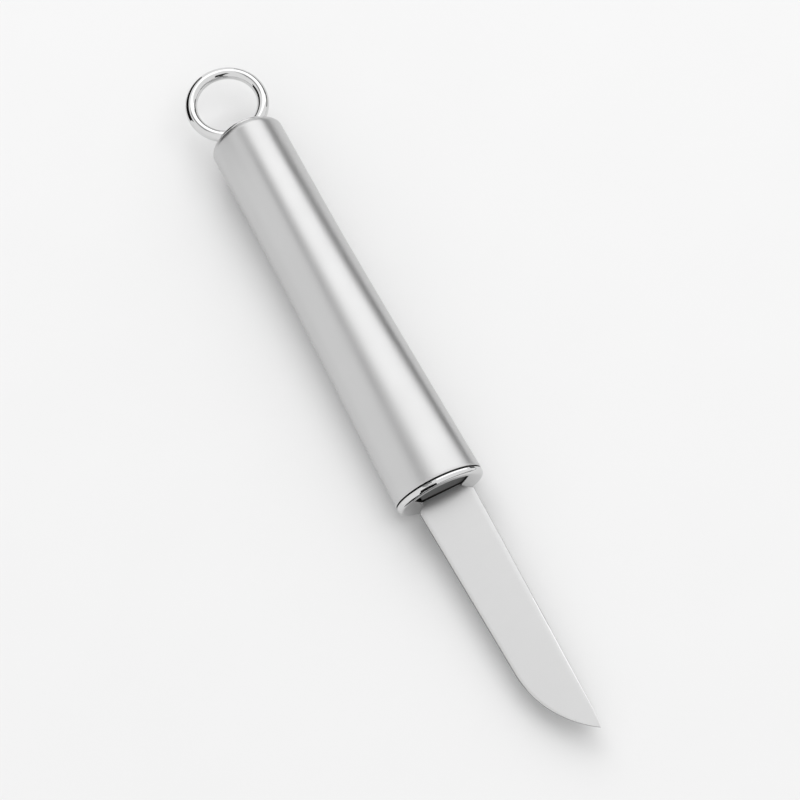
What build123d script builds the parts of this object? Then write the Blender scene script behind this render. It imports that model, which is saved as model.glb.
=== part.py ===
from build123d import *
from math import atan2, cos, degrees, hypot, sin
import os

os.makedirs("parts", exist_ok=True)

# Paring knife, lying flat, sizes in millimetres.
# +X runs along the handle to the blade's tip, +Y goes from cutting edge to spine, +Z is up.
# The origin is on the table, under the middle of the knife's whole length.

# Handle tube: thin steel, round at the ring end, squeezed to a flat oval at the blade end.
# Its height falls evenly all the way, so the knife lies steady on a straight underside, while
# most of its width is gained in the half towards the blade.
handle_length = 108.2
butt_radius = 9.45
front_half_width = 11.4
front_half_height = 7.0
widening_start = 40.0
widening_softness = 17.0
tube_wall = 0.8
lip_radius = 2.1
lip_opening = 6.5

# Front cap: the polished oval plug with two windows that closes the blade end.
groove_width = 0.45
cap_stand = 1.9
cap_rounding = 1.15
spigot_length = 5.0
window_half_width = 9.1
window_half_height = 5.6
tab_gap = 5.2
tab_half_height = 3.1
tab_corner = 1.1
tab_depth = 1.2

# Blade: flat stock with a long straight edge, a rising belly and a nearly straight spine.
blade_stock = 1.2
blade_length = 70.2
edge_heel_reach = 2.4
edge_heel = 7.15
edge_turn_share = 0.7
edge_turn = 5.6
tip_height = 6.15
spine_heel_reach = 1.9
spine_heel = 7.6
spine_middle_share = 0.484
spine_middle = 7.3
spine_turn_share = 0.91
spine_turn = 6.85
edge_thickness = 0.08
bevel_width = 0.5
bevel_thickness = 0.4
grind_width = 15.6
tang_length = 38.0
tang_hole_radius = 2.4
tang_hole_pitch = 13.0
tang_corner = 1.5

# Tang holder: the dark plug moulded round the tang.
holder_length = 44.0
holder_recess = 0.3

# End plug, and the hanging ring that swings in its eye.
plug_length = 7.0
plug_stand = 1.1
plug_rounding = 0.9
eye_wall = 0.95
eye_half_width = 2.2
ring_radius = 9.05
ring_wire = 1.5
ring_reach = 1.3
ring_clearance = 0.06
ring_swing = 74.0

# Places along X, worked out from the ring's far side to the blade's tip.
ring_tail = ring_reach + 2 * ring_radius + ring_wire
overall_length = ring_tail + handle_length + cap_stand + blade_length
butt_x = ring_tail - overall_length / 2
front_x = butt_x + handle_length
face_x = front_x + cap_stand
hinge_x = butt_x - ring_reach


def widening_ramp(along):
    """Length widened so far: nearly none before widening_start, then steadily more."""
    past = along - widening_start
    return (past + hypot(past, widening_softness)) / 2


def widening_share(along):
    """Share of the widening at a length along the tube: 0 at the round end, 1 at the other."""
    at_butt = widening_ramp(0)
    return (widening_ramp(along) - at_butt) / (widening_ramp(handle_length) - at_butt)


def half_width(along):
    """Half the tube's width at a length along it from the round end."""
    return butt_radius + (front_half_width - butt_radius) * widening_share(along)


def half_height(along):
    """Half the tube's height at a length along it from the round end."""
    return butt_radius + (front_half_height - butt_radius) * along / handle_length


# The handle's centre line is level, and its underside touches the table behind the rounded end.
axis_height = half_height(lip_radius)


def cross_plane(x):
    """Plane across the handle at x, its first direction along +Y and its second along +Z."""
    return Plane(origin=(x, 0, axis_height), x_dir=(0, 1, 0), z_dir=(1, 0, 0))


def tube_oval(x, inset):
    """The tube's outline at x, drawn smaller all round by inset."""
    along = x - butt_x
    Ellipse(half_width(along) - inset, half_height(along) - inset)


def squeezed_form(start, inset, end_radius):
    """Solid that follows the tube from start to the blade end, rounded at its round end."""
    stations = 12
    with BuildPart() as form:
        for i in range(stations):
            x = start + (front_x - start) * i / (stations - 1)
            with BuildSketch(cross_plane(x)):
                tube_oval(x, inset)
        loft()
        fillet(form.edges().group_by(Axis.X)[0], radius=end_radius)
    return form.part


def length_of(form, x_from, x_to):
    """The stretch of a form between two places along X."""
    with BuildPart() as piece:
        add(form)
        with BuildSketch(cross_plane(x_from)):
            Rectangle(4 * front_half_width, 4 * front_half_width)
        extrude(amount=x_to - x_from, mode=Mode.INTERSECT)
    return piece.part


# The tube's outside, and the space inside it, from which every piece seated there is cut.
tube_form = squeezed_form(butt_x, 0, lip_radius)
bore_form = squeezed_form(butt_x + tube_wall, tube_wall, lip_radius - tube_wall)


# Handle tube: its round end is turned in to a lip round the end plug's neck.
with BuildPart() as handle_tube:
    add(tube_form)
    add(bore_form, mode=Mode.SUBTRACT)
    with BuildSketch(cross_plane(butt_x)):
        Circle(lip_opening)
    extrude(amount=tube_wall, mode=Mode.SUBTRACT)


# Window in the cap's face: an oval with a tab standing in from each side to grip the tang.
def window_outline():
    """The oval window less its two side tabs, whose inner corners are rounded."""
    with BuildSketch(mode=Mode.PRIVATE) as window:
        Ellipse(window_half_width, window_half_height)
        with Locations((tab_gap, 0)):
            Rectangle(
                window_half_width, 2 * tab_half_height, align=(Align.MIN, Align.CENTER), mode=Mode.SUBTRACT
            )
        with Locations((-tab_gap, 0)):
            Rectangle(
                window_half_width, 2 * tab_half_height, align=(Align.MAX, Align.CENTER), mode=Mode.SUBTRACT
            )
        inner = window.vertices().filter_by_position(Axis.X, -1.01 * tab_gap, 1.01 * tab_gap)
        fillet(inner, radius=tab_corner)
    add(window.sketch)


# Front cap: head proud of the groove, neck across it, and a spigot inside the tube.
spigot_form = length_of(bore_form, front_x - spigot_length, front_x)

with BuildPart() as front_cap:
    with BuildSketch(cross_plane(front_x + groove_width)):
        tube_oval(front_x, 0)
    extrude(amount=cap_stand - groove_width)
    fillet(front_cap.edges().group_by(Axis.X)[-1], radius=cap_rounding)
    with BuildSketch(cross_plane(front_x)):
        tube_oval(front_x, tube_wall)
    extrude(amount=groove_width)
    add(spigot_form)
    with BuildSketch(cross_plane(front_x - spigot_length)):
        Ellipse(window_half_width, window_half_height)
    extrude(amount=spigot_length + cap_stand - tab_depth, mode=Mode.SUBTRACT)
    with BuildSketch(cross_plane(face_x)):
        window_outline()
    extrude(amount=-tab_depth, mode=Mode.SUBTRACT)


def tang_outline():
    """The tang as wide as the gap between the tabs, with two holes for the holder to grip."""
    with Locations((face_x - tang_length / 2, 0)):
        tang = Rectangle(tang_length, 2 * tab_gap)
    fillet(tang.vertices().group_by(Axis.X)[0], radius=tang_corner)
    with Locations((face_x - tang_length / 2, 0)):
        with GridLocations(tang_hole_pitch, 0, 2, 1):
            Circle(tang_hole_radius, mode=Mode.SUBTRACT)


# Tang holder: fills the windows to just below the face, the cap's pocket, and the tube behind.
holder_form = length_of(bore_form, front_x - holder_length, front_x - spigot_length)

with BuildPart() as tang_holder:
    add(holder_form)
    with BuildSketch(cross_plane(front_x - spigot_length)):
        Ellipse(window_half_width, window_half_height)
    extrude(amount=spigot_length + cap_stand - tab_depth)
    with BuildSketch(cross_plane(face_x - tab_depth)):
        window_outline()
    extrude(amount=tab_depth - holder_recess)
    with BuildSketch(Plane.XY.offset(axis_height)):
        tang_outline()
    extrude(amount=blade_stock / 2, both=True, mode=Mode.SUBTRACT)


# Blade: corners of its outline, in the plane halfway through the stock. The shares are parts
# of its length from the cap's face to the tip.
edge_turn_reach = edge_turn_share * blade_length
heel_low = (face_x + edge_heel_reach, -edge_heel)
heel_high = (face_x + spine_heel_reach, spine_heel)
edge_end = (face_x + edge_turn_reach, -edge_turn)
spine_end = (face_x + spine_turn_share * blade_length, spine_turn)
tip = (face_x + blade_length, tip_height)
edge_angle = atan2(edge_heel - edge_turn, edge_turn_reach - edge_heel_reach)
along_edge = (cos(edge_angle), sin(edge_angle))
into_blade = (-sin(edge_angle), cos(edge_angle))

# The belly is one arc that leaves the straight edge smoothly and ends at the tip.
belly_chord = hypot(tip[0] - edge_end[0], tip[1] - edge_end[1])
belly_half_turn = atan2(tip[1] - edge_end[1], tip[0] - edge_end[0]) - edge_angle
belly_radius = belly_chord / 2 / sin(belly_half_turn)
belly_centre = (edge_end[0] + into_blade[0] * belly_radius, edge_end[1] + into_blade[1] * belly_radius)


def grind_plane(point):
    """Plane across the blade at a point of its edge, looking along the edge."""
    return Plane(
        origin=(point[0], point[1], axis_height), x_dir=(*into_blade, 0), z_dir=(*along_edge, 0)
    )


def grind_section():
    """The ground blade cut across: a narrow edge bevel, then a long taper to the full stock."""
    upper = [
        (0, edge_thickness / 2),
        (bevel_width, bevel_thickness / 2),
        (grind_width, blade_stock / 2),
    ]
    lower = [(width, -height) for width, height in reversed(upper)]
    Polygon(*upper, *lower, align=None)


with BuildPart() as blade:
    with BuildSketch(grind_plane(edge_end)) as section:
        grind_section()
    extrude(amount=-(edge_turn_reach + edge_heel_reach))
    revolve(
        section.sketch,
        axis=Axis((*belly_centre, axis_height), (0, 0, 1)),
        revolution_arc=degrees(2 * belly_half_turn),
    )
    with BuildSketch(Plane.XY.offset(axis_height)):
        with BuildLine():
            Polyline((face_x, tab_gap), (face_x, -tab_gap), heel_low, edge_end)
            TangentArc(edge_end, tip, tangent=along_edge)
            spine = ThreePointArc(
                heel_high, (face_x + spine_middle_share * blade_length, spine_middle), spine_end
            )
            TangentArc(spine_end, tip, tangent=spine % 1)
            Line(heel_high, (face_x, tab_gap))
        make_face()
    extrude(amount=blade_stock, both=True, mode=Mode.INTERSECT)
    with BuildSketch(Plane.XY.offset(axis_height)):
        tang_outline()
    extrude(amount=blade_stock / 2, both=True)


def hinge_plane(turn):
    """Plane of the ring swung by turn, its first direction from the hinge to the ring's middle."""
    level = Plane(origin=(hinge_x, 0, axis_height), x_dir=(-1, 0, 0), z_dir=(0, 0, -1))
    return level.rotated((0, turn, 0))


hinge_axis = Axis((hinge_x, 0, axis_height), (0, 1, 0))
plug_form = length_of(bore_form, butt_x, butt_x + plug_length)

# End plug: disc inside the tube, neck through the lip, a polished head outside it, and an eye
# on the head that holds the ring.
head_radius = butt_radius - lip_radius
hinge_bore = ring_wire + ring_clearance

with BuildPart() as end_plug:
    with BuildSketch(cross_plane(butt_x - plug_stand)):
        Circle(head_radius)
    extrude(amount=plug_stand)
    fillet(end_plug.edges().group_by(Axis.X)[0], radius=plug_rounding)
    with BuildSketch(cross_plane(butt_x)):
        Circle(lip_opening)
    extrude(amount=tube_wall)
    add(plug_form)
    with BuildSketch(Plane(origin=(hinge_x, 0, axis_height), z_dir=(0, 1, 0))):
        Circle(hinge_bore + eye_wall)
    extrude(amount=eye_half_width, both=True)

    # Swing pocket: a bore along the hinge line, and the space the curved wire sweeps outside
    # that line, from one end of its swing to the other.
    with BuildSketch(Plane(origin=(hinge_x, 0, axis_height), z_dir=(0, 1, 0))):
        Circle(hinge_bore)
    extrude(amount=lip_opening, both=True, mode=Mode.SUBTRACT)
    with BuildSketch(hinge_plane(-ring_swing)):
        with Locations((ring_radius, 0)):
            Circle(ring_radius + hinge_bore)
            Circle(ring_radius - hinge_bore, mode=Mode.SUBTRACT)
        Rectangle(
            ring_radius, 4 * ring_radius, align=(Align.MIN, Align.CENTER), mode=Mode.INTERSECT
        )
    revolve(axis=hinge_axis, revolution_arc=2 * ring_swing, mode=Mode.SUBTRACT)
    for turn in (-ring_swing, ring_swing):
        with Locations(hinge_plane(turn)):
            with Locations((ring_radius, 0, 0)):
                Torus(ring_radius, hinge_bore, mode=Mode.SUBTRACT)


# Hanging ring: round wire, lying straight out from the handle.
with BuildPart() as hanging_ring:
    with Locations((hinge_x - ring_radius, 0, axis_height)):
        Torus(ring_radius, ring_wire)


handle_tube.part.label = "handle_tube"
export_step(handle_tube.part, "parts/handle_tube.step")

front_cap.part.label = "front_cap"
export_step(front_cap.part, "parts/front_cap.step")

tang_holder.part.label = "tang_holder"
export_step(tang_holder.part, "parts/tang_holder.step")

blade.part.label = "blade"
export_step(blade.part, "parts/blade.step")

end_plug.part.label = "end_plug"
export_step(end_plug.part, "parts/end_plug.step")

hanging_ring.part.label = "hanging_ring"
export_step(hanging_ring.part, "parts/hanging_ring.step")
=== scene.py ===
from math import asin, cos, hypot, pi, radians, sin, sqrt, tan

import bmesh
import bpy
from mathutils import Matrix, Vector
from mathutils.geometry import delaunay_2d_cdt


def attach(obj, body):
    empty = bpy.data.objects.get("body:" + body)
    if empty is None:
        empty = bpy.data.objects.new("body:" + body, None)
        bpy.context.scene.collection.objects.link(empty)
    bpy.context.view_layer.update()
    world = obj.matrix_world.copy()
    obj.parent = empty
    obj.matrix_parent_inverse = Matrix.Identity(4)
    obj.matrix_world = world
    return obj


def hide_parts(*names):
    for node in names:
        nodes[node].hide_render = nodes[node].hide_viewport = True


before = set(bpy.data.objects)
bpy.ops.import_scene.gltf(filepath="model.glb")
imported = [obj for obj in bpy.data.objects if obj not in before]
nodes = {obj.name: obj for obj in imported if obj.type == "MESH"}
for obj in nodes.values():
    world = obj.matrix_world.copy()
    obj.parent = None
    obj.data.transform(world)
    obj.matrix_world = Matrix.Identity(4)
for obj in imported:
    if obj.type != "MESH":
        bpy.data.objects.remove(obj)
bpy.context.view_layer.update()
scene = bpy.context.scene
mm = 0.001
mathNode = "ShaderNodeMath"
print("frame loaded:", ", ".join(sorted(nodes)))

# The knife lies along X, tip towards +X, cutting edge towards -Y, flat of the blade level.
# Sizes below are in millimetres, measured from the tube's round end unless a note says otherwise.
knife = dict(
    buttX=-79.7,  # the tube's round end
    axisHeight=9.40245,  # the handle's centre line above the table
    handleLength=108.2,
    capStand=1.9,  # the cap's face beyond the tube
)
frontX = knife["buttX"] + knife["handleLength"]
faceX = frontX + knife["capStand"]
axisZ = knife["axisHeight"]


def linearColour(hexText):
    parts = [int(hexText[i : i + 2], 16) / 255 for i in (1, 3, 5)]
    linear = [c / 12.92 if c <= 0.04045 else ((c + 0.055) / 1.055) ** 2.4 for c in parts]
    return (*linear, 1.0)


def addNode(tree, kind, inputs=None, **settings):
    # inputs takes socket names or numbers, with a value or another node's output
    node = tree.nodes.new(kind)
    for name, value in settings.items():
        setattr(node, name, value)
    for key, value in (inputs or {}).items():
        if isinstance(value, bpy.types.NodeSocket):
            tree.links.new(value, node.inputs[key])
        else:
            node.inputs[key].default_value = value
    return node


def newMaterial(name):
    material = bpy.data.materials.new(name)
    material.use_nodes = True
    material.node_tree.nodes.clear()
    return material, material.node_tree


def linkObject(name, mesh):
    piece = bpy.data.objects.new(name, mesh)
    scene.collection.objects.link(piece)
    return piece


def meshToPiece(name, mesh, *materials):
    # an edited mesh becomes a piece of its own
    data = bpy.data.meshes.new(name)
    mesh.to_mesh(data)
    mesh.free()
    for material in materials:
        data.materials.append(material)
    return linkObject(name, data)


def bakeModifiers(piece):
    # the evaluated shape becomes the piece's own plain mesh
    graph = bpy.context.evaluated_depsgraph_get()
    mesh = bpy.data.meshes.new_from_object(piece.evaluated_get(graph))
    old = piece.data
    piece.modifiers.clear()
    piece.data = mesh
    mesh.name = piece.name
    bpy.data.meshes.remove(old)


def sharpenCreases(piece, degrees):
    piece.data.shade_smooth()
    piece.data.set_sharp_from_angle(angle=radians(degrees))


def dressPiece(piece, material, slotName, body, *replaced):
    if not piece.data.materials:
        piece.data.materials.append(material)
    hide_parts(*replaced)
    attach(piece, body)


# Handle tube: stainless steel sheet, drawn and then blasted with fine glass beads. The beads leave
# dimples of about 0.05 mm that no eye can tell apart, so it looks matt and silky, with wide soft
# highlights and no grain. The dimples are drawn about 0.3 mm wide, so that they just show close up.
def makeBeadBlastedSteel():
    look = dict(
        colour="#CCCCCC",
        duller="#C9C9C9",  # where hands have handled it
        roughness=0.34,
        patchChange=0.02,  # how far patches go from it
        dimpleWidth=0.3,  # mm
        dimpleHeight=0.0012,  # mm
        patchWidth=14.0,  # mm
    )
    material, tree = newMaterial("beadBlastedSteel")
    place = addNode(tree, "ShaderNodeTexCoord").outputs["Object"]
    patches = addNode(
        tree,
        "ShaderNodeTexNoise",
        {"Vector": place, "Scale": 1 / (look["patchWidth"] * mm), "Detail": 3.0, "Roughness": 0.55},
    )
    dimples = addNode(
        tree,
        "ShaderNodeTexNoise",
        {"Vector": place, "Scale": 1 / (look["dimpleWidth"] * mm), "Detail": 2.0, "Roughness": 0.6},
    )
    tint = addNode(
        tree,
        "ShaderNodeMix",
        {
            "Factor": patches.outputs["Fac"],
            "A": linearColour(look["colour"]),
            "B": linearColour(look["duller"]),
        },
        data_type="RGBA",
    )
    dullness = addNode(
        tree,
        "ShaderNodeMapRange",
        {
            "Value": patches.outputs["Fac"],
            "From Min": 0.3,
            "From Max": 0.7,
            "To Min": look["roughness"] - look["patchChange"],
            "To Max": look["roughness"] + look["patchChange"],
        },
    )
    relief = addNode(
        tree,
        "ShaderNodeBump",
        {"Height": dimples.outputs["Fac"], "Distance": look["dimpleHeight"] * mm, "Strength": 1.0},
    )
    steel = addNode(
        tree,
        "ShaderNodeBsdfPrincipled",
        {
            "Base Color": tint.outputs["Result"],
            "Metallic": 1.0,
            "Roughness": dullness.outputs["Result"],
            "Normal": relief.outputs["Normal"],
        },
    )
    addNode(tree, "ShaderNodeOutputMaterial", {"Surface": steel.outputs["BSDF"]})
    return material


# Cap, end plug and ring: stainless steel, buffed to a mirror on a cloth wheel. It shows clear
# pictures of the table and the lamps, with a very thin haze where the wheel's paste left marks.
def makePolishedSteel():
    look = dict(
        colour="#D8D8D8",
        roughness=0.03,
        clearer=0.01,  # where the haze is thinnest
        hazier=0.02,
        hazeWidth=3.0,  # mm
        markWidth=0.35,  # mm, real ones are far finer
        markHeight=0.0002,  # mm
    )
    material, tree = newMaterial("mirrorPolishedSteel")
    place = addNode(tree, "ShaderNodeTexCoord").outputs["Object"]
    haze = addNode(
        tree,
        "ShaderNodeTexNoise",
        {"Vector": place, "Scale": 1 / (look["hazeWidth"] * mm), "Detail": 4.0},
    )
    marks = addNode(
        tree,
        "ShaderNodeTexNoise",
        {"Vector": place, "Scale": 1 / (look["markWidth"] * mm), "Detail": 2.0},
    )
    dullness = addNode(
        tree,
        "ShaderNodeMapRange",
        {
            "Value": haze.outputs["Fac"],
            "From Min": 0.3,
            "From Max": 0.7,
            "To Min": look["roughness"] - look["clearer"],
            "To Max": look["roughness"] + look["hazier"],
        },
    )
    relief = addNode(
        tree,
        "ShaderNodeBump",
        {"Height": marks.outputs["Fac"], "Distance": look["markHeight"] * mm, "Strength": 1.0},
    )
    steel = addNode(
        tree,
        "ShaderNodeBsdfPrincipled",
        {
            "Base Color": linearColour(look["colour"]),
            "Metallic": 1.0,
            "Roughness": dullness.outputs["Result"],
            "Normal": relief.outputs["Normal"],
        },
    )
    addNode(tree, "ShaderNodeOutputMaterial", {"Surface": steel.outputs["BSDF"]})
    return material


# Blade: hardened chromium steel, ground across on a fine belt and then glazed. The belt leaves
# scratches of a few hundredths of a millimetre from edge to spine. They spread a highlight along
# the blade and give it an even, light grey satin. They are drawn about 0.2 mm apart.
def makeSatinGroundSteel():
    look = dict(
        colour="#CECECE",
        roughness=0.36,
        scratchChange=0.04,  # how far single scratches go from it
        scratchSpacing=0.22,  # mm
        scratchLength=9.0,  # mm
        scratchHeight=0.0006,  # mm
    )
    material, tree = newMaterial("satinGroundSteel")
    place = addNode(tree, "ShaderNodeTexCoord").outputs["Object"]
    stretched = addNode(
        tree,
        "ShaderNodeMapping",
        {
            "Vector": place,
            "Scale": (
                1 / (look["scratchSpacing"] * mm),
                1 / (look["scratchLength"] * mm),
                1 / (look["scratchLength"] * mm),
            ),
        },
    )
    scratches = addNode(
        tree,
        "ShaderNodeTexNoise",
        {"Vector": stretched.outputs["Vector"], "Scale": 1.0, "Detail": 3.0, "Roughness": 0.65},
    )
    dullness = addNode(
        tree,
        "ShaderNodeMapRange",
        {
            "Value": scratches.outputs["Fac"],
            "From Min": 0.25,
            "From Max": 0.75,
            "To Min": look["roughness"] - look["scratchChange"],
            "To Max": look["roughness"] + look["scratchChange"],
        },
    )
    relief = addNode(
        tree,
        "ShaderNodeBump",
        {
            "Height": scratches.outputs["Fac"],
            "Distance": look["scratchHeight"] * mm,
            "Strength": 1.0,
        },
    )
    steel = addNode(
        tree,
        "ShaderNodeBsdfPrincipled",
        {
            "Base Color": linearColour(look["colour"]),
            "Metallic": 1.0,
            "Roughness": dullness.outputs["Result"],
            "Normal": relief.outputs["Normal"],
        },
    )
    addNode(tree, "ShaderNodeOutputMaterial", {"Surface": steel.outputs["BSDF"]})
    return material


# Tang holder: polyamide, injection moulded against a lightly spark-eroded steel. The eroded skin
# is a dull, faintly grainy dark grey. Its grain is drawn about 0.25 mm wide.
def makeMouldedPlastic():
    look = dict(
        colour="#525252",
        darker="#4A4A4A",
        roughness=0.42,
        ior=1.53,
        grainWidth=0.25,  # mm
        grainHeight=0.004,  # mm
    )
    material, tree = newMaterial("mouldedPolyamide")
    place = addNode(tree, "ShaderNodeTexCoord").outputs["Object"]
    grain = addNode(
        tree,
        "ShaderNodeTexNoise",
        {"Vector": place, "Scale": 1 / (look["grainWidth"] * mm), "Detail": 2.0},
    )
    tint = addNode(
        tree,
        "ShaderNodeMix",
        {
            "Factor": grain.outputs["Fac"],
            "A": linearColour(look["colour"]),
            "B": linearColour(look["darker"]),
        },
        data_type="RGBA",
    )
    relief = addNode(
        tree,
        "ShaderNodeBump",
        {"Height": grain.outputs["Fac"], "Distance": look["grainHeight"] * mm, "Strength": 1.0},
    )
    plastic = addNode(
        tree,
        "ShaderNodeBsdfPrincipled",
        {
            "Base Color": tint.outputs["Result"],
            "Roughness": look["roughness"],
            "IOR": look["ior"],
            "Normal": relief.outputs["Normal"],
        },
    )
    addNode(tree, "ShaderNodeOutputMaterial", {"Surface": plastic.outputs["BSDF"]})
    return material


# Groove and window walls of the cap, the tube's rim behind it and the blade's root in the plastic:
# the same steel, rough as turned and punched where no wheel gets in. Its near-black colour is
# painted shade, so the thin lines between the parts look nearly black.
def makePaintedShadeSteel():
    look = dict(
        # painted shade: near black, with greyer patches at random
        colour="#2E2E2E",
        cleaner="#444444",
        roughness=0.55,
        patchWidth=0.6,  # mm
    )
    material, tree = newMaterial("paintedShadeSteel")
    place = addNode(tree, "ShaderNodeTexCoord").outputs["Object"]
    patches = addNode(
        tree,
        "ShaderNodeTexNoise",
        {"Vector": place, "Scale": 1 / (look["patchWidth"] * mm), "Detail": 3.0},
    )
    tint = addNode(
        tree,
        "ShaderNodeMix",
        {
            "Factor": patches.outputs["Fac"],
            "A": linearColour(look["colour"]),
            "B": linearColour(look["cleaner"]),
        },
        data_type="RGBA",
    )
    steel = addNode(
        tree,
        "ShaderNodeBsdfPrincipled",
        {"Base Color": tint.outputs["Result"], "Metallic": 1.0, "Roughness": look["roughness"]},
    )
    addNode(tree, "ShaderNodeOutputMaterial", {"Surface": steel.outputs["BSDF"]})
    return material


beadBlastedSteel = makeBeadBlastedSteel()
paintedShadeSteel = makePaintedShadeSteel()
polishedSteel = makePolishedSteel()
satinGroundSteel = makeSatinGroundSteel()
mouldedPlastic = makeMouldedPlastic()
print("materials made")


handleTube = dict(
    roundRadius=9.45,  # at the ring end
    frontHalfWidth=11.4,
    frontHalfHeight=7.0,
    wideningStart=40.0,
    wideningSoftness=17.0,
    wall=0.8,
    lipRadius=2.1,  # the round end's turned-in edge
    lipOpening=6.5,
    edgeBreak=0.12,  # the deburred front edge
    rimWidth=0.3,  # the sawn rim, in the groove behind the cap, painted near black as shade
    crease=40,  # degrees
    rows=150,
    stepsAround=160,
)


def addSockets(tree, kind, *names):
    for name in names:
        tree.interface.new_socket(name=name, in_out="INPUT", socket_type="NodeSocket" + kind)


def newForm(name):
    # an empty tree for a modifier, which gives back one geometry
    tree = bpy.data.node_groups.new(name, "GeometryNodeTree")
    tree.is_modifier = True
    tree.interface.new_socket(name="Geometry", in_out="OUTPUT", socket_type="NodeSocketGeometry")
    addSockets(tree, "Material", "Material")
    return tree


def finishForm(tree, geometry, material):
    smooth = addNode(tree, "GeometryNodeSetShadeSmooth", {"Geometry": geometry}).outputs[0]
    solid = addNode(tree, "GeometryNodeRealizeInstances", {"Geometry": smooth}).outputs[0]
    dressed = addNode(
        tree, "GeometryNodeSetMaterial", {"Geometry": solid, "Material": material}
    ).outputs[0]
    addNode(tree, "NodeGroupOutput", {"Geometry": dressed})


def makeWideningRamp():
    # length widened so far: nearly none before the start, then steadily more
    tree = bpy.data.node_groups.new("wideningRamp", "GeometryNodeTree")
    addSockets(tree, "Float", "Along", "Start", "Softness")
    tree.interface.new_socket(name="Ramp", in_out="OUTPUT", socket_type="NodeSocketFloat")
    given = addNode(tree, "NodeGroupInput").outputs
    past = addNode(
        tree, mathNode, {0: given["Along"], 1: given["Start"]}, operation="SUBTRACT"
    ).outputs[0]
    pastSquare = addNode(tree, mathNode, {0: past, 1: past}, operation="MULTIPLY").outputs[0]
    bothSquares = addNode(
        tree,
        mathNode,
        {0: given["Softness"], 1: given["Softness"], 2: pastSquare},
        operation="MULTIPLY_ADD",
    ).outputs[0]
    root = addNode(tree, mathNode, {0: bothSquares}, operation="SQRT").outputs[0]
    total = addNode(tree, mathNode, {0: past, 1: root}, operation="ADD").outputs[0]
    half = addNode(tree, mathNode, {0: total, 1: 0.5}, operation="MULTIPLY").outputs[0]
    addNode(tree, "NodeGroupOutput", {"Ramp": half})
    return tree


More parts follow.
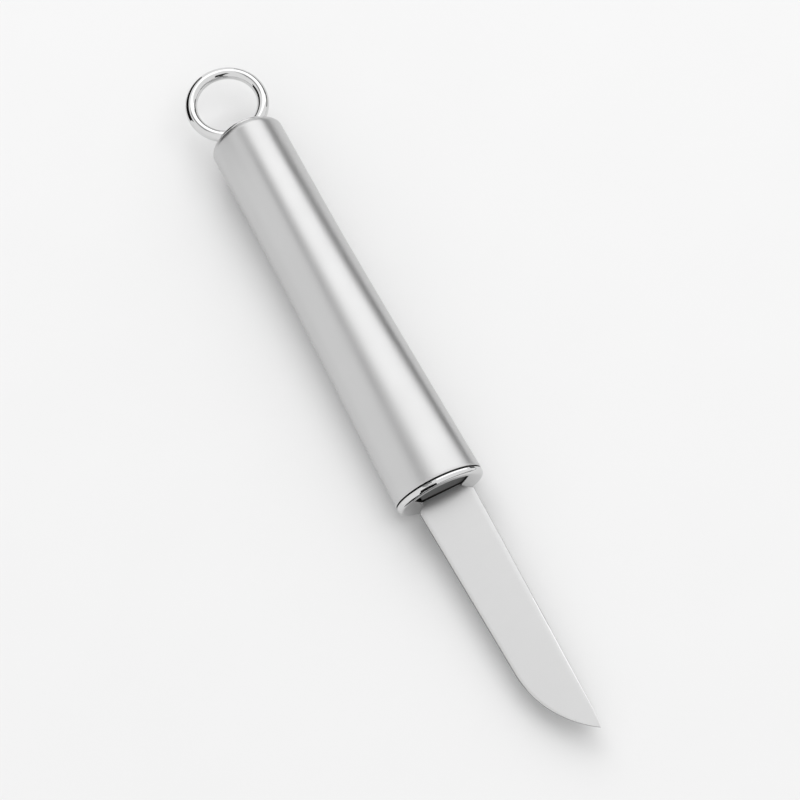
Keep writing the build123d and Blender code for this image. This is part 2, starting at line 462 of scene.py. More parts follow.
def makeHandleTree():
    tree = newForm("handleTubeForm")
    sizes = (
        "Round End X",
        "Axis Height",
        "Length",
        "Round Radius",
        "Front Half Width",
        "Front Half Height",
        "Widening Start",
        "Widening Softness",
        "Lip Radius",
        "Lip Opening",
    )
    addSockets(tree, "Float", *sizes)
    addSockets(tree, "Int", "Rows", "Steps Around")
    given = addNode(tree, "NodeGroupInput").outputs

    # a flat sheet one unit square: X runs along the tube and Y round it
    sheet = addNode(
        tree,
        "GeometryNodeMeshGrid",
        {
            "Size X": 1.0,
            "Size Y": 1.0,
            "Vertices X": given["Rows"],
            "Vertices Y": given["Steps Around"],
        },
    ).outputs["Mesh"]
    where = addNode(tree, "GeometryNodeInputPosition").outputs[0]
    flat = addNode(tree, "ShaderNodeSeparateXYZ", {0: where})

    # the rows first cross the lip's flat, then turn the rounded edge, then run to the front
    lipEnd, turnEnd = -0.46, -0.33  # places on the sheet
    stretches = ((-0.5, lipEnd, 1.0), (lipEnd, turnEnd, pi / 2), (turnEnd, 0.5, 1.0))
    lipPart, turnPart, runPart = (
        addNode(
            tree,
            "ShaderNodeMapRange",
            {"Value": flat.outputs["X"], "From Min": start, "From Max": end, "To Max": most},
        ).outputs["Result"]
        for start, end, most in stretches
    )

    # length along the tube
    turnCos = addNode(tree, mathNode, {0: turnPart}, operation="COSINE").outputs[0]
    turnSin = addNode(tree, mathNode, {0: turnPart}, operation="SINE").outputs[0]
    turnReach = addNode(tree, mathNode, {0: 1.0, 1: turnCos}, operation="SUBTRACT").outputs[0]
    turnLength = addNode(
        tree, mathNode, {0: turnReach, 1: given["Lip Radius"]}, operation="MULTIPLY"
    ).outputs[0]
    straightLength = addNode(
        tree, mathNode, {0: given["Length"], 1: given["Lip Radius"]}, operation="SUBTRACT"
    ).outputs[0]
    along = addNode(
        tree,
        mathNode,
        {0: runPart, 1: straightLength, 2: turnLength},
        operation="MULTIPLY_ADD",
    ).outputs[0]

    # how far the lip stands in from the tube's outline
    turnRise = addNode(tree, mathNode, {0: 1.0, 1: turnSin}, operation="SUBTRACT").outputs[0]
    turnInset = addNode(
        tree, mathNode, {0: turnRise, 1: given["Lip Radius"]}, operation="MULTIPLY"
    ).outputs[0]
    flatOuter = addNode(
        tree, mathNode, {0: given["Round Radius"], 1: given["Lip Radius"]}, operation="SUBTRACT"
    ).outputs[0]
    flatWidth = addNode(
        tree, mathNode, {0: flatOuter, 1: given["Lip Opening"]}, operation="SUBTRACT"
    ).outputs[0]
    flatLeft = addNode(tree, mathNode, {0: 1.0, 1: lipPart}, operation="SUBTRACT").outputs[0]
    inset = addNode(
        tree, mathNode, {0: flatLeft, 1: flatWidth, 2: turnInset}, operation="MULTIPLY_ADD"
    ).outputs[0]

    # the width follows the ramp, and the height falls evenly
    ramp = makeWideningRamp()
    rampNodes = [addNode(tree, "GeometryNodeGroup", node_tree=ramp) for _ in range(3)]
    for node, place in zip(rampNodes, (along, None, given["Length"])):
        if place is not None:
            tree.links.new(place, node.inputs["Along"])
        tree.links.new(given["Widening Start"], node.inputs["Start"])
        tree.links.new(given["Widening Softness"], node.inputs["Softness"])
    widened, none, full = (node.outputs["Ramp"] for node in rampNodes)
    share = addNode(
        tree, "ShaderNodeMapRange", {"Value": widened, "From Min": none, "From Max": full}
    ).outputs["Result"]
    fullWidth = addNode(
        tree,
        "ShaderNodeMapRange",
        {"Value": share, "To Min": given["Round Radius"], "To Max": given["Front Half Width"]},
    ).outputs["Result"]
    fullHeight = addNode(
        tree,
        "ShaderNodeMapRange",
        {
            "Value": along,
            "From Max": given["Length"],
            "To Min": given["Round Radius"],
            "To Max": given["Front Half Height"],
        },
    ).outputs["Result"]
    halfWidth = addNode(tree, mathNode, {0: fullWidth, 1: inset}, operation="SUBTRACT").outputs[0]
    halfHeight = addNode(tree, mathNode, {0: fullHeight, 1: inset}, operation="SUBTRACT").outputs[0]

    # round the tube
    turn = addNode(
        tree, mathNode, {0: flat.outputs["Y"], 1: 2 * pi}, operation="MULTIPLY"
    ).outputs[0]
    roundCos = addNode(tree, mathNode, {0: turn}, operation="COSINE").outputs[0]
    roundSin = addNode(tree, mathNode, {0: turn}, operation="SINE").outputs[0]
    placeX = addNode(
        tree, mathNode, {0: along, 1: given["Round End X"]}, operation="ADD"
    ).outputs[0]
    placeY = addNode(tree, mathNode, {0: halfWidth, 1: roundCos}, operation="MULTIPLY").outputs[0]
    placeZ = addNode(
        tree,
        mathNode,
        {0: halfHeight, 1: roundSin, 2: given["Axis Height"]},
        operation="MULTIPLY_ADD",
    ).outputs[0]
    place = addNode(tree, "ShaderNodeCombineXYZ", {0: placeX, 1: placeY, 2: placeZ}).outputs[0]
    rolled = addNode(
        tree, "GeometryNodeSetPosition", {"Geometry": sheet, "Position": place}
    ).outputs[0]
    closed = addNode(
        tree, "GeometryNodeMergeByDistance", {"Geometry": rolled, "Distance": 1e-6}
    ).outputs[0]
    finishForm(tree, closed, given["Material"])
    return tree


def setInputs(modifier, **values):
    # a modifier's inputs are keyed by identifier, so the names are looked up first
    for item in modifier.node_group.interface.items_tree:
        if item.item_type == "SOCKET" and item.in_out == "INPUT":
            key = item.name.replace(" ", "")
            if key in values:
                modifier[item.identifier] = values[key]


def makeHandleTube():
    sizes = handleTube
    piece = linkObject("handleTube", bpy.data.meshes.new("handleTube"))
    form = piece.modifiers.new("form", "NODES")
    form.node_group = makeHandleTree()
    setInputs(
        form,
        RoundEndX=knife["buttX"] * mm,
        AxisHeight=axisZ * mm,
        Length=knife["handleLength"] * mm,
        RoundRadius=sizes["roundRadius"] * mm,
        FrontHalfWidth=sizes["frontHalfWidth"] * mm,
        FrontHalfHeight=sizes["frontHalfHeight"] * mm,
        WideningStart=sizes["wideningStart"] * mm,
        WideningSoftness=sizes["wideningSoftness"] * mm,
        LipRadius=sizes["lipRadius"] * mm,
        LipOpening=sizes["lipOpening"] * mm,
        Rows=sizes["rows"],
        StepsAround=sizes["stepsAround"] + 1,
        Material=beadBlastedSteel,
    )
    bakeModifiers(piece)
    turnOutwards(piece)
    wall = piece.modifiers.new("wall", "SOLIDIFY")
    wall.thickness = sizes["wall"] * mm
    wall.offset = -1
    wall.use_even_offset = True
    edgeBreak = piece.modifiers.new("edgeBreak", "BEVEL")
    edgeBreak.limit_method = "ANGLE"
    edgeBreak.angle_limit = radians(60)
    edgeBreak.width = sizes["edgeBreak"] * mm
    edgeBreak.segments = 3
    bakeModifiers(piece)
    # the rim's faces get the near-black steel, painted shade in the groove
    piece.data.materials.append(paintedShadeSteel)
    for face in piece.data.polygons:  # the sawn rim faces forwards
        if face.center.x > (frontX - sizes["rimWidth"]) * mm and face.normal.x > 0.3:
            face.material_index = 1
    sharpenCreases(piece, sizes["crease"])
    dressPiece(piece, beadBlastedSteel, "brushed_handle", "knife", "handle_tube")


def turnOutwards(piece):
    # an open or closed skin whose faces should point away from its middle
    mesh = bmesh.new()
    mesh.from_mesh(piece.data)
    bmesh.ops.recalc_face_normals(mesh, faces=mesh.faces)
    middle = Vector((0, 0, axisZ * mm))
    outward = 0
    for face in mesh.faces:
        centre = face.calc_center_median()
        outward += face.normal.dot(centre - Vector((centre.x, 0, middle.z))) * face.calc_area()
    if outward < 0:
        bmesh.ops.reverse_faces(mesh, faces=mesh.faces)
    mesh.to_mesh(piece.data)
    mesh.free()


makeHandleTube()
print("handle tube made")


frontCap = dict(
    grooveWidth=0.45,
    rounding=1.15,  # round the face's outer edge
    windowHalfWidth=9.1,
    windowHalfHeight=5.6,
    tabGap=5.2,  # from the middle to each tab
    tabNose=0.5,  # over the blade: heights of its slope's two ends, and where it bends towards
    tabTop=3.4,
    tabBend=(6.3, 1.75),
    tabHalfHeight=3.1,  # under the blade, with the corner's radius
    tabCorner=1.1,
    tabDepth=1.2,
    spigotLength=5.0,  # how far the cap reaches into the tube
    spigotTaper=0.15,  # its end is this much slimmer all round
    pocketPlay=0.03,  # round the plastic behind the tabs
    lowerShare=0.3,  # how much of the lower opening past the tabs' noses is left open
    edgeBreak=0.06,
    stepsAround=240,
    crease=30,  # degrees
)


def ovalPoint(turn, halfWidth, halfHeight, inset):
    # a point of the oval, moved in square to its outline
    across = (halfHeight * cos(turn), halfWidth * sin(turn))
    size = hypot(*across)
    return (
        halfWidth * cos(turn) - inset * across[0] / size,
        halfHeight * sin(turn) - inset * across[1] / size,
    )


def ovalEnd(start):
    # the window's oval from a height on its side up to its top
    width, height = frontCap["windowHalfWidth"], frontCap["windowHalfHeight"]
    low = asin(start / height)
    turns = [low + (pi / 2 - low) * i / 40 for i in range(41)]
    return [(width * cos(turn), height * sin(turn)) for turn in turns]


def windowOutline(growth):
    # half of each side is drawn and mirrored; growth widens the window all round
    sizes = frontCap
    gap = sizes["tabGap"]

    # over the blade each tab slopes up from its nose to the oval
    oval = ovalEnd(sizes["tabTop"])
    nose, bend, top = (gap, sizes["tabNose"]), sizes["tabBend"], oval[0]
    upper = [(gap, nose[1] * i / 3) for i in range(3)]
    for i in range(16):
        t = i / 16
        low, mid, far = (1 - t) ** 2, 2 * t * (1 - t), t**2
        upper.append(tuple(low * a + mid * b + far * c for a, b, c in zip(nose, bend, top)))
    upper += oval

    # under the blade it is square with a rounded corner, and the opening is narrower
    oval = ovalEnd(sizes["tabHalfHeight"])
    corner, tabTop = sizes["tabCorner"], sizes["tabHalfHeight"]
    lower = [(gap, (tabTop - corner) * i / 6) for i in range(1, 6)]
    for i in range(9):
        turn = pi - pi / 2 * i / 8
        lower.append((gap + corner + corner * cos(turn), tabTop - corner + corner * sin(turn)))
    inner = gap + corner
    lower += [(inner + (oval[0][0] - inner) * i / 4, tabTop) for i in range(1, 4)]
    lower += oval
    narrow = 1 - sizes["lowerShare"]
    lower = [(y - max(y - gap, 0) * narrow, -z) for y, z in lower]

    points = upper + [(-y, z) for y, z in reversed(upper[1:-1])] + [(-gap, 0.0)]
    points += [(-y, z) for y, z in lower] + [(y, z) for y, z in reversed(lower[:-1])]
    grown = []
    for i, (y, z) in enumerate(points):
        before, after = points[i - 1], points[(i + 1) % len(points)]
        run = (after[0] - before[0], after[1] - before[1])
        size = hypot(*run)
        grown.append((y + growth * run[1] / size, z - growth * run[0] / size))
    return grown


def addRow(mesh, points, x):
    return [mesh.verts.new((x * mm, y * mm, (axisZ + z) * mm)) for y, z in points]


def bridgeRows(mesh, first, second, finish=0):
    # finish is the material's number, or a list of them, one for each step along the rows
    count = len(first)
    finishes = finish if isinstance(finish, list) else [finish] * count
    for i in range(count):
        j = (i + 1) % count
        face = mesh.faces.new((first[i], first[j], second[j], second[i]))
        face.material_index = finishes[i]


def fillBetween(mesh, outer, inner):
    # flat face between two closed rows at the same x
    rows = outer + inner
    flat = [Vector((v.co.y, v.co.z)) for v in rows]
    rings = [(i, (i + 1) % len(outer)) for i in range(len(outer))]
    rings += [(len(outer) + i, len(outer) + (i + 1) % len(inner)) for i in range(len(inner))]
    holes = [list(range(len(outer))), [len(outer) + i for i in range(len(inner))]]
    _, _, triangles, origins, _, faceOrigins = delaunay_2d_cdt(flat, rings, holes, 0, 1e-9)
    for triangle, sources in zip(triangles, faceOrigins):
        if sources == [0]:
            mesh.faces.new([rows[origins[i][0]] for i in triangle])


def makeFrontCap():
    sizes = frontCap
    width, height = handleTube["frontHalfWidth"], handleTube["frontHalfHeight"]
    count = sizes["stepsAround"]
    rounding, small = sizes["rounding"], sizes["edgeBreak"]
    backX = frontX + sizes["grooveWidth"]
    neck = handleTube["wall"]
    startX = frontX - sizes["spigotLength"]
    rows = [(startX, neck + sizes["spigotTaper"])]
    rows += [(frontX - 0.02, neck), (backX - 0.12, neck), (backX, neck)]
    rows += [(backX, small * 1.5)]
    for i in range(5):  # the head's back edge is just broken
        turn = pi / 2 * i / 4
        rows.append((backX + small * (1 - cos(turn)), small * (1 - sin(turn))))
    rows += [(backX + small * 1.5, 0.0), (faceX - rounding - 0.02, 0.0)]
    for i in range(17):
        turn = pi / 2 * i / 16
        rows.append((faceX - rounding * (1 - sin(turn)), rounding * (1 - cos(turn))))
    rows.append((faceX, rounding + 0.05))
    mesh = bmesh.new()
    turns = [2 * pi * i / count for i in range(count)]
    made = []
    for x, inset in rows:
        made.append(addRow(mesh, [ovalPoint(t, width, height, inset) for t in turns], x))
    for i in range(len(made) - 1):
        bridgeRows(mesh, made[i], made[i + 1], 1 if i < 4 else 0)  # the groove's steel is painted near black, as shade

    # window edge, from the face past the tabs, and the wider pocket behind them
    rim = addRow(mesh, windowOutline(small + 0.03), faceX)
    fillBetween(mesh, made[-1], rim)
    for i in range(5):
        turn = pi / 2 * i / 4
        row = addRow(mesh, windowOutline(small * (1 - sin(turn))), faceX - small * (1 - cos(turn)))
        bridgeRows(mesh, rim, row)
        rim = row
    tabsBackX = faceX - sizes["tabDepth"]
    tabsBack = addRow(mesh, windowOutline(0.0), tabsBackX)
    # the window's walls behind the edge break are painted near black, as shade in the recess
    bridgeRows(mesh, rim, tabsBack, 1)
    wide, high = sizes["windowHalfWidth"], sizes["windowHalfHeight"]
    pocket = [ovalPoint(t, wide, high, -sizes["pocketPlay"]) for t in turns]
    front, back = addRow(mesh, pocket, tabsBackX), addRow(mesh, pocket, startX)
    fillBetween(mesh, front, tabsBack)
    # the pocket's walls are painted near black too, as shade
    bridgeRows(mesh, front, back, 1)
    fillBetween(mesh, made[0], back)
    bmesh.ops.recalc_face_normals(mesh, faces=mesh.faces)
    piece = meshToPiece("frontCap", mesh, polishedSteel, paintedShadeSteel)
    turnOutwards(piece)
    sharpenCreases(piece, sizes["crease"])
    dressPiece(piece, polishedSteel, "polished_fittings", "knife", "front_cap")


makeFrontCap()
print("front cap made")


tangHolder = dict(
    slotHalfHeight=0.6,
    mouthHalfHeight=0.8,  # the slot's mouth is eased, which leaves a black line above the blade
    mouthDepth=0.45,
    recess=0.3,  # behind the cap's face, as in the solids
    moreRecess=0.22,
    spineSideGrowth=1.25,  # the plastic fills the window up to the sloped tab on the spine's side
    growthSide=5.0,  # what lies past this on that side, and between these heights, moves
    growthHeights=(0.3, 3.05),
    tolerance=0.01,
    mergeDistance=0.002,
    crease=25,  # degrees
)


def makeTangHolder():
    sizes = tangHolder
    frontFace = (faceX - sizes["recess"]) * mm
    mesh = bmesh.new()
    mesh.from_mesh(nodes["tang_holder"].data)
    bmesh.ops.remove_doubles(mesh, verts=mesh.verts, dist=sizes["mergeDistance"] * mm)
    cut = frontFace - sizes["mouthDepth"] * mm
    everything = list(mesh.verts) + list(mesh.edges) + list(mesh.faces)
    bmesh.ops.bisect_plane(mesh, geom=everything, plane_co=(cut, 0, 0), plane_no=(1, 0, 0))
    low, high = sizes["growthHeights"]
    tolerance = sizes["tolerance"] * mm
    for vertex in mesh.verts:
        rise = vertex.co.z - axisZ * mm
        onSide = vertex.co.y > sizes["growthSide"] * mm and low * mm < rise < high * mm
        if vertex.co.x > cut - tolerance and onSide:
            vertex.co.y += sizes["spineSideGrowth"] * mm
        if abs(vertex.co.x - frontFace) > tolerance:
            continue
        if abs(abs(rise) - sizes["slotHalfHeight"] * mm) < tolerance:
            vertex.co.z = axisZ * mm + (1 if rise > 0 else -1) * sizes["mouthHalfHeight"] * mm
        vertex.co.x -= sizes["moreRecess"] * mm
    bmesh.ops.recalc_face_normals(mesh, faces=mesh.faces)
    piece = meshToPiece("tangHolder", mesh)
    sharpenCreases(piece, sizes["crease"])
    dressPiece(piece, mouldedPlastic, "dark_plug", "knife", "tang_holder")


makeTangHolder()
print("tang holder made")


# Reaches are measured from the cap's face, heights from the handle's centre line.
bladeForm = dict(
    stock=1.2,
    length=70.2,
    edgeHeelReach=2.4,
    edgeHeel=7.15,
    edgeTurnShare=0.7,
    edgeTurn=5.6,
    tipHeight=6.15,
    spineHeelReach=1.9,
    spineHeel=7.6,
    spineMiddleShare=0.484,
    spineMiddle=7.3,
    spineTurnShare=0.91,
    spineTurn=6.85,
    edgeThickness=0.08,
    bevelWidth=0.2,
    bevelThickness=0.15,
    grindWidth=15.6,
    tangLength=38.0,
    spineRounding=0.42,
    groundFrom=-20.0,  # the ground faces start inside the plastic
    dullBefore=-0.3,  # the blade's root behind the cap's face is painted near black, as shade at the plastic's mouth
    glazedFrom=34.0,  # the spine's rounding is glazed bright from here to the tip
    stations=230,
    stationCrowding=0.35,  # how much closer they stand towards the tip
    tipBlunt=0.004,
    sideSteps=14,  # from the bevel up to the spine's rounding
    roundSteps=8,
    crease=9,  # degrees
)


def circleThrough(first, middle, last):
    # centre and radius of the circle through three points
    ax, ay = first
    bx, by = middle
    cx, cy = last
    d = 2 * (ax * (by - cy) + bx * (cy - ay) + cx * (ay - by))
    aa, bb, cc = ax**2 + ay**2, bx**2 + by**2, cx**2 + cy**2
    ux = (aa * (by - cy) + bb * (cy - ay) + cc * (ay - by)) / d
    uy = (aa * (cx - bx) + bb * (ax - cx) + cc * (bx - ax)) / d
    return (ux, uy), hypot(ax - ux, ay - uy)


def tangentCircle(start, end, direction):
    # centre and signed radius of the circle that leaves start along direction and meets end
    normal = (-direction[1], direction[0])
    toEnd = (end[0] - start[0], end[1] - start[1])
    radius = (toEnd[0] ** 2 + toEnd[1] ** 2) / (2 * (toEnd[0] * normal[0] + toEnd[1] * normal[1]))
    return (start[0] + normal[0] * radius, start[1] + normal[1] * radius), radius


class BladeOutline:
    def __init__(self, sizes):
        self.sizes = sizes
        self.length = sizes["length"]
        self.edgeHeel = (sizes["edgeHeelReach"], -sizes["edgeHeel"])
        self.edgeEnd = (sizes["edgeTurnShare"] * self.length, -sizes["edgeTurn"])
        self.spineHeel = (sizes["spineHeelReach"], sizes["spineHeel"])
        self.spineEnd = (sizes["spineTurnShare"] * self.length, sizes["spineTurn"])
        self.tip = (self.length, sizes["tipHeight"])
        run = (self.edgeEnd[0] - self.edgeHeel[0], self.edgeEnd[1] - self.edgeHeel[1])
        size = hypot(*run)
        self.alongEdge = (run[0] / size, run[1] / size)
        self.intoBlade = (-self.alongEdge[1], self.alongEdge[0])
        self.belly, self.bellyRadius = tangentCircle(self.edgeEnd, self.tip, self.alongEdge)
        middle = (sizes["spineMiddleShare"] * self.length, sizes["spineMiddle"])
        self.spine, self.spineRadius = circleThrough(self.spineHeel, middle, self.spineEnd)
        out = (self.spineEnd[0] - self.spine[0], self.spineEnd[1] - self.spine[1])
        leave = (out[1] / self.spineRadius, -out[0] / self.spineRadius)
        self.spineSide = 1 if out[1] > 0 else -1
        if leave[0] < 0:
            leave = (-leave[0], -leave[1])
        self.nose, self.noseRadius = tangentCircle(self.spineEnd, self.tip, leave)

    def low(self, reach):
        gap = frontCap["tabGap"]
        if reach <= 0:
            return -gap
        if reach < self.edgeHeel[0]:
            return -gap + (self.edgeHeel[1] + gap) * reach / self.edgeHeel[0]
        if reach < self.edgeEnd[0]:
            past = reach - self.edgeHeel[0]
            return self.edgeHeel[1] + past * self.alongEdge[1] / self.alongEdge[0]
        reach = min(reach, self.length)
        return self.belly[1] - sqrt(max(self.bellyRadius**2 - (reach - self.belly[0]) ** 2, 0))

    def high(self, reach):
        gap = frontCap["tabGap"]
        if reach <= 0:
            return gap
        if reach < self.spineHeel[0]:
            return gap + (self.spineHeel[1] - gap) * reach / self.spineHeel[0]
        reach = min(reach, self.length)
        if reach < self.spineEnd[0]:
            rise = sqrt(self.spineRadius**2 - (reach - self.spine[0]) ** 2)
            return self.spine[1] + self.spineSide * rise
        rise = sqrt(self.noseRadius**2 - (reach - self.nose[0]) ** 2)
        return self.nose[1] + (-rise if self.noseRadius > 0 else rise)

    def depth(self, reach, height):
        # distance in from the cutting edge
        fromEnd = (reach - self.edgeEnd[0], height - self.edgeEnd[1])
        if fromEnd[0] * self.alongEdge[0] + fromEnd[1] * self.alongEdge[1] <= 0:
            return fromEnd[0] * self.intoBlade[0] + fromEnd[1] * self.intoBlade[1]
        return self.bellyRadius - hypot(reach - self.belly[0], height - self.belly[1])

    def halfThickness(self, reach, height):
        sizes = self.sizes
        if reach <= sizes["groundFrom"]:
            return sizes["stock"] / 2
        depth = max(self.depth(max(reach, 0), height), 0)
        edge, bevel = sizes["edgeThickness"], sizes["bevelThickness"]
        if depth < sizes["bevelWidth"]:
            share = depth / sizes["bevelWidth"]
            thick = edge + (bevel - edge) * share
        else:
            share = (depth - sizes["bevelWidth"]) / (sizes["grindWidth"] - sizes["bevelWidth"])
            thick = bevel + (sizes["stock"] - bevel) * min(share, 1)
        return thick / 2

    def bevelLine(self, reach):
        # height at which the narrow edge bevel ends
        low, high = self.low(reach), self.high(reach)
        if self.depth(reach, high) < self.sizes["bevelWidth"]:
            return high
        for _ in range(40):
            middle = (low + high) / 2
            if self.depth(reach, middle) < self.sizes["bevelWidth"]:
                low = middle
            else:
                high = middle
        return high


def bladeSection(outline, reach):
    # half of the blade cut across, from edge to spine
    low, high = outline.low(reach), outline.high(reach)
    rounding = min(outline.sizes["spineRounding"], 0.3 * (high - low))
    rounding = min(rounding, 0.8 * outline.halfThickness(reach, high))
    bevel = min(max(outline.bevelLine(reach), low + 0.02), high - rounding)
    flatEnd = high - rounding
    heights = [low, (low + bevel) / 2, bevel]
    steps = outline.sizes["sideSteps"]
    heights += [bevel + (flatEnd - bevel) * i / steps for i in range(1, steps + 1)]
    points = [(h, outline.halfThickness(reach, h)) for h in heights]
    top = outline.halfThickness(reach, flatEnd)
    steps = outline.sizes["roundSteps"]
    for i in range(1, steps + 1):
        turn = pi / 2 * i / steps
        points.append((high - rounding * (1 - sin(turn)), top - rounding * (1 - cos(turn))))
    return points


def makeBlade():
    sizes = bladeForm
    outline = BladeOutline(sizes)
    heels = sorted((sizes["spineHeelReach"], sizes["edgeHeelReach"], outline.edgeEnd[0]))
    reaches = [-sizes["tangLength"], sizes["groundFrom"], -5.0, -1.0, sizes["dullBefore"]]
    reaches += [-0.001, 0.001]  # just inside the cap's face and just outside it
    for i in range(1, sizes["stations"]):
        share = i / sizes["stations"]
        reaches.append(sizes["length"] * share * (2 - share) ** sizes["stationCrowding"])
    tipEnd = sizes["length"] - sizes["tipBlunt"]
    reaches = [r for r in reaches if r < tipEnd] + [tipEnd]
    reaches = sorted(set(reaches + heels))
    mesh = bmesh.new()
    rows = []
    for reach in reaches:
        half = bladeSection(outline, reach)
        rows.append(addRow(mesh, half + [(y, -z) for y, z in reversed(half)], faceX + reach))

    # steps along a row run from the edge up one side, round the spine and down the other
    side, rounded, count = sizes["sideSteps"], sizes["roundSteps"], len(rows[0])
    honed = (0, 1, count - 3, count - 2, count - 1)
    glazed = range(2 + side, 3 + side + 2 * rounded)
    for reach, first, second in zip(reaches, rows, rows[1:]):
        # faces of the root behind the cap's face are painted near black, as shade
        finishes = [2 if reach < sizes["dullBefore"] else 0] * len(first)
        if reach > 0:
            for i in honed:
                finishes[i] = 1
        if reach > sizes["glazedFrom"]:
            for i in glazed:
                finishes[i] = 1
        bridgeRows(mesh, first, second, finishes)
    mesh.faces.new(rows[0])
    mesh.faces.new(rows[-1])
    bmesh.ops.remove_doubles(mesh, verts=mesh.verts, dist=1e-8)
    bmesh.ops.recalc_face_normals(mesh, faces=mesh.faces)
    finishes = (satinGroundSteel, polishedSteel, paintedShadeSteel)
    piece = meshToPiece("bladeGround", mesh, *finishes)
    sharpenCreases(piece, sizes["crease"])
    dressPiece(piece, satinGroundSteel, "satin_blade", "knife", "blade")


makeBlade()
print("blade made")


endPlug = dict(
    mergeDistance=0.002,
    crease=28,  # degrees
)


def makeEndPlug():
    mesh = bmesh.new()
    mesh.from_mesh(nodes["end_plug"].data)
    bmesh.ops.remove_doubles(mesh, verts=mesh.verts, dist=endPlug["mergeDistance"] * mm)
    piece = meshToPiece("endPlug", mesh)
    sharpenCreases(piece, endPlug["crease"])
    dressPiece(piece, polishedSteel, "polished_fittings", "knife", "end_plug")


makeEndPlug()
print("end plug made")


hangingRing = dict(
    radius=9.05,  # to the middle of the wire
    wireRadius=1.5,
    hingeReach=1.3,  # its hinge line beyond the tube
    stepsAround=192,
    stepsRoundWire=48,
)


def makeRingTree():
    tree = newForm("hangingRingForm")
    addSockets(tree, "Float", "Radius", "Wire Radius")
    addSockets(tree, "Int", "Steps Around", "Steps Round Wire")
    addSockets(tree, "Vector", "Middle")
    given = addNode(tree, "NodeGroupInput").outputs
    path = addNode(
        tree,
        "GeometryNodeCurvePrimitiveCircle",
        {"Resolution": given["Steps Around"], "Radius": given["Radius"]},
    ).outputs["Curve"]
    wire = addNode(
        tree,
        "GeometryNodeCurvePrimitiveCircle",
        {"Resolution": given["Steps Round Wire"], "Radius": given["Wire Radius"]},
    ).outputs["Curve"]
    bent = addNode(
        tree, "GeometryNodeCurveToMesh", {"Curve": path, "Profile Curve": wire}
    ).outputs[0]
    placed = addNode(
        tree, "GeometryNodeTransform", {"Geometry": bent, "Translation": given["Middle"]}
    ).outputs[0]
    finishForm(tree, placed, given["Material"])
    return tree


def makeHangingRing():
    sizes = hangingRing
    middleX = knife["buttX"] - sizes["hingeReach"] - sizes["radius"]
    piece = linkObject("hangingRing", bpy.data.meshes.new("hangingRing"))
    form = piece.modifiers.new("form", "NODES")
    form.node_group = makeRingTree()
    setInputs(
        form,
        Radius=sizes["radius"] * mm,
        WireRadius=sizes["wireRadius"] * mm,
        StepsAround=sizes["stepsAround"],
        StepsRoundWire=sizes["stepsRoundWire"],
        Middle=(middleX * mm, 0.0, axisZ * mm),
        Material=polishedSteel,
    )
    bakeModifiers(piece)
    mesh = bmesh.new()
    mesh.from_mesh(piece.data)
    bmesh.ops.recalc_face_normals(mesh, faces=mesh.faces)
    mesh.to_mesh(piece.data)
    mesh.free()
    piece.data.shade_smooth()
    dressPiece(piece, polishedSteel, "polished_fittings", "ring", "hanging_ring")


makeHangingRing()
print("hanging ring made")


studio = dict(
    tableTilt=1.2975,  # degrees: the knife lies on its tube's straight underside
    tableSize=8.0,  # m
    tableColour="#ECECEC",
    tableMottle="#EAEAEA",
    mottleScale=30.0,
    worldForShine=0.98,
    worldForShade=0.635,
    softboxFrom=5.0,  # degrees from upright towards the spine's side
    softboxTo=64.0,
    softboxDistance=2.4,  # m
    softboxBack=-3.3,  # m along the knife, where it starts and ends
    softboxFront=-0.4,
    softboxLevel=1.6,  # as metal shows it
    lampDistance=2.4,  # m
    lampSize=2.0,
)

# The lamps light the table and the plastic. Metal sees the softbox card instead.
lamps = dict(
    backLamp=dict(way=(-0.8, 0.16, 0.55), level=2.32),
    topLamp=dict(way=(0.1, 0.34, 0.95), level=1.05),
    spineLamp=dict(way=(-0.4, 0.85, 0.35), level=0.5),
    tipLamp=dict(way=(0.8, -0.55, 0.33), level=0.4),  # low, it looks in under the blade
)


def makeTable():
    material, tree = newMaterial("paleTable")
    place = addNode(tree, "ShaderNodeTexCoord").outputs["Object"]
    mottle = addNode(
        tree, "ShaderNodeTexNoise", {"Vector": place, "Scale": studio["mottleScale"], "Detail": 2.0}
    )
    tint = addNode(
        tree,
        "ShaderNodeMix",
        {
            "Factor": mottle.outputs["Fac"],
            "A": linearColour(studio["tableColour"]),
            "B": linearColour(studio["tableMottle"]),
        },
        data_type="RGBA",
    )
    board = addNode(
        tree, "ShaderNodeBsdfDiffuse", {"Color": tint.outputs["Result"], "Roughness": 0.0}
    )
    addNode(tree, "ShaderNodeOutputMaterial", {"Surface": board.outputs["BSDF"]})
    half = studio["tableSize"] / 2
    slope = tan(radians(studio["tableTilt"]))
    startX = (knife["buttX"] + handleTube["lipRadius"]) * mm
    ends = ((-half, -half), (half, -half), (half, half), (-half, half))
    corners = [(x, y, (x - startX) * slope) for x, y in ends]
    data = bpy.data.meshes.new("table")
    data.from_pydata(corners, [], [(0, 1, 2, 3)])
    data.materials.append(material)
    linkObject("table", data)


def makeWorld():
    world = bpy.data.worlds.new("paleRoom")
    scene.world = world
    world.use_nodes = True
    tree = world.node_tree
    tree.nodes.clear()
    path = addNode(tree, "ShaderNodeLightPath").outputs
    seen = addNode(
        tree,
        mathNode,
        {0: path["Is Camera Ray"], 1: path["Is Glossy Ray"]},
        operation="MAXIMUM",
    ).outputs[0]
    seen = addNode(
        tree, mathNode, {0: seen, 1: path["Is Transmission Ray"]}, operation="MAXIMUM"
    ).outputs[0]
    strength = addNode(
        tree,
        "ShaderNodeMapRange",
        {"Value": seen, "To Min": studio["worldForShade"], "To Max": studio["worldForShine"]},
    ).outputs["Result"]
    sky = addNode(tree, "ShaderNodeBackground", {"Color": (1, 1, 1, 1), "Strength": strength})
    addNode(tree, "ShaderNodeOutputWorld", {"Surface": sky.outputs["Background"]})


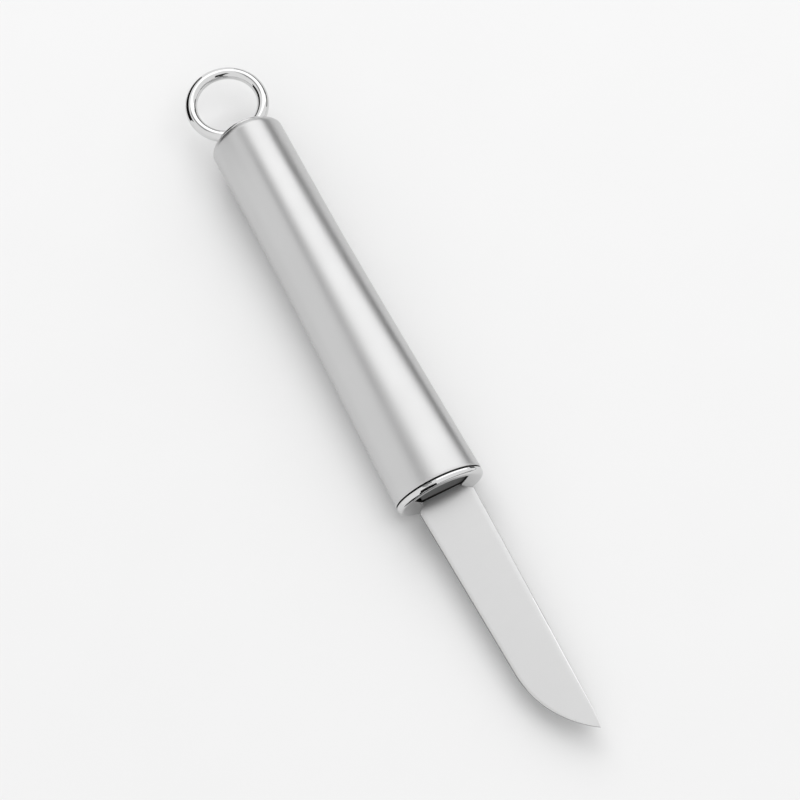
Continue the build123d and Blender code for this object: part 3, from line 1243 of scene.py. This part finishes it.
def makeLamp(name, sizes):
    data = bpy.data.lights.new(name, "AREA")
    data.shape = "SQUARE"
    data.size = studio["lampSize"]
    data.energy = sizes["level"] * pi * data.size**2
    lamp = bpy.data.objects.new(name, data)
    lamp.visible_glossy = False
    scene.collection.objects.link(lamp)
    way = Vector(sizes["way"]).normalized()
    lamp.rotation_euler = way.to_track_quat("Z", "Y").to_euler()
    lamp.location = way * studio["lampDistance"]


def makeSoftbox():
    # a long white card over the spine's side, square to the line of sight from the knife
    angle = radians(studio["softboxFrom"] + studio["softboxTo"]) / 2
    halfAngle = radians(studio["softboxTo"] - studio["softboxFrom"]) / 2
    away = Vector((0, sin(angle), cos(angle)))
    rise = Vector((0, cos(angle), -sin(angle))) * tan(halfAngle) * studio["softboxDistance"]
    middle = away * studio["softboxDistance"]
    back = middle + Vector((studio["softboxBack"], 0, 0))
    front = middle + Vector((studio["softboxFront"], 0, 0))
    corners = [back - rise, front - rise, front + rise, back + rise]
    makeCard("softbox", corners, studio["softboxLevel"])


def makeCard(name, corners, level, faces=None):
    # a card of a plain level, seen only by reflections
    material, tree = newMaterial(name)
    glow = addNode(tree, "ShaderNodeEmission", {"Color": (1, 1, 1, 1), "Strength": level})
    addNode(tree, "ShaderNodeOutputMaterial", {"Surface": glow.outputs["Emission"]})
    data = bpy.data.meshes.new(name)
    faces = faces or [tuple(range(len(corners)))]
    data.from_pydata([tuple(corner) for corner in corners], [], faces)
    data.materials.append(material)
    card = linkObject(name, data)
    card.visible_camera = False
    card.visible_diffuse = False
    card.visible_shadow = False


def makeScreen(name, posts, level):
    # an upright card that bends at each post; a post is x, y, foot and top
    feet = [(x, y, foot) for x, y, foot, top in posts]
    tops = [(x, y, top) for x, y, foot, top in posts]
    count = len(posts)
    faces = [(i, i + 1, count + i + 1, count + i) for i in range(count - 1)]
    makeCard(name, feet + tops, level, faces)


# Cards and screens, as a photographer hangs them round a shiny piece. Places are in metres.
cards = dict(
    overhead=dict(  # the gap between the softbox and the white ceiling
        level=0.3,
        corners=[(-1.6, -0.85, 2.4), (-0.6, -0.85, 2.4), (-0.6, -0.1, 2.4), (-1.6, -0.1, 2.4)],
    ),
    tableEnd=dict(  # the table ends a hand's width away from the spine
        level=0.05,
        corners=[
            (-0.2, 0.17, -0.002),
            (0.3, 0.17, 0.0092),
            (0.3, 0.37, 0.0092),
            (-0.2, 0.37, -0.002),
        ],
    ),
    overBlade=dict(  # the camera's dark lens hood, which the honed edge shows near the tip
        level=0.36,
        corners=[
            (-0.02, -0.075, 0.25),
            (0.05, -0.068, 0.25),
            (0.112, -0.02, 0.25),
            (0.1, 0.004, 0.25),
            (0.03, -0.038, 0.25),
            (-0.02, -0.05, 0.25),
        ],
    ),
    paintedTableShade=dict(  # painted shade: a dark strip just over the table in front of the cap, beside the blade, standing for the table's shade the cap reflects
        level=0.02,
        corners=[
            (0.045, -0.021, 0.0032),
            (1.4, -0.62, 0.034),
            (1.5, -0.14, 0.0361),
            (0.045, -0.0078, 0.0032),
        ],
    ),
)
screens = dict(
    spineSide=dict(  # the dark wall below the softbox, higher towards the ring
        level=0.07,
        posts=[
            (-0.8, 0.36, 0.035, 0.2),
            (-0.24, 0.36, 0.035, 0.195),
            (-0.222, 0.36, 0.02, 0.185),
            (-0.19, 0.36, -0.01, 0.115),
            (-0.05, 0.36, -0.01, 0.11),
        ],
    ),
    ringSide=dict(  # a small black screen close round the ring
        level=0.01,
        posts=[
            (-0.145, -0.002, -0.002, 0.03),
            (-0.1417, -0.0188, -0.002, 0.042),
            (-0.134, -0.0331, -0.002, 0.05),
            (-0.1231, -0.0439, -0.002, 0.05),
            (-0.1088, -0.0491, -0.002, 0.047),
        ],
    ),
    cameraSide=dict(  # the dark room below the camera
        level=0.01,
        posts=[
            (1.13, -1.03, 2.0, 2.25),
            (1.329, -0.75, 1.42, 2.75),
            (1.411, -0.586, 0.97, 2.95),
            (1.464, -0.439, 0.42, 2.85),
            (1.502, -0.286, 0.03, 2.65),
            (1.524, 0.131, 0.03, 2.1),
        ],
    ),
    farWall=dict(  # the grey end wall, low over the table
        level=0.3,
        posts=[(1.524, 0.131, 0.03, 0.42), (1.3, 0.75, 0.03, 0.4), (0.75, 1.3, 0.03, 0.3)],
    ),
)


makeTable()
makeWorld()
for name, lamp in lamps.items():
    makeLamp(name, lamp)
makeSoftbox()
for name, card in cards.items():
    makeCard(name, card["corners"], card["level"])
for name, screen in screens.items():
    makeScreen(name, screen["posts"], screen["level"])
print("table, lamps and cards set")


photoCamera = dict(
    place=(0.412652, -0.153924, 0.940384),  # m
    right=(0.444168, 0.894797, -0.045310),
    forward=(-0.397834, 0.151662, -0.904835),
    lens=191.156,  # mm
    sensor=36.0,  # mm
    nearest=0.05,  # m
    farthest=50.0,
)


def makeCamera():
    data = bpy.data.cameras.new("photoCamera")
    data.sensor_width = photoCamera["sensor"]
    data.lens = photoCamera["lens"]
    data.clip_start = photoCamera["nearest"]
    data.clip_end = photoCamera["farthest"]
    camera = bpy.data.objects.new("photoCamera", data)
    scene.collection.objects.link(camera)
    forward = Vector(photoCamera["forward"]).normalized()
    right = Vector(photoCamera["right"])
    right = (right - forward * right.dot(forward)).normalized()
    up = right.cross(forward)
    turn = Matrix((right, up, -forward)).transposed().to_4x4()
    camera.matrix_world = Matrix.Translation(photoCamera["place"]) @ turn
    scene.camera = camera


makeCamera()
scene.view_settings.view_transform = "Standard"
print("camera set")
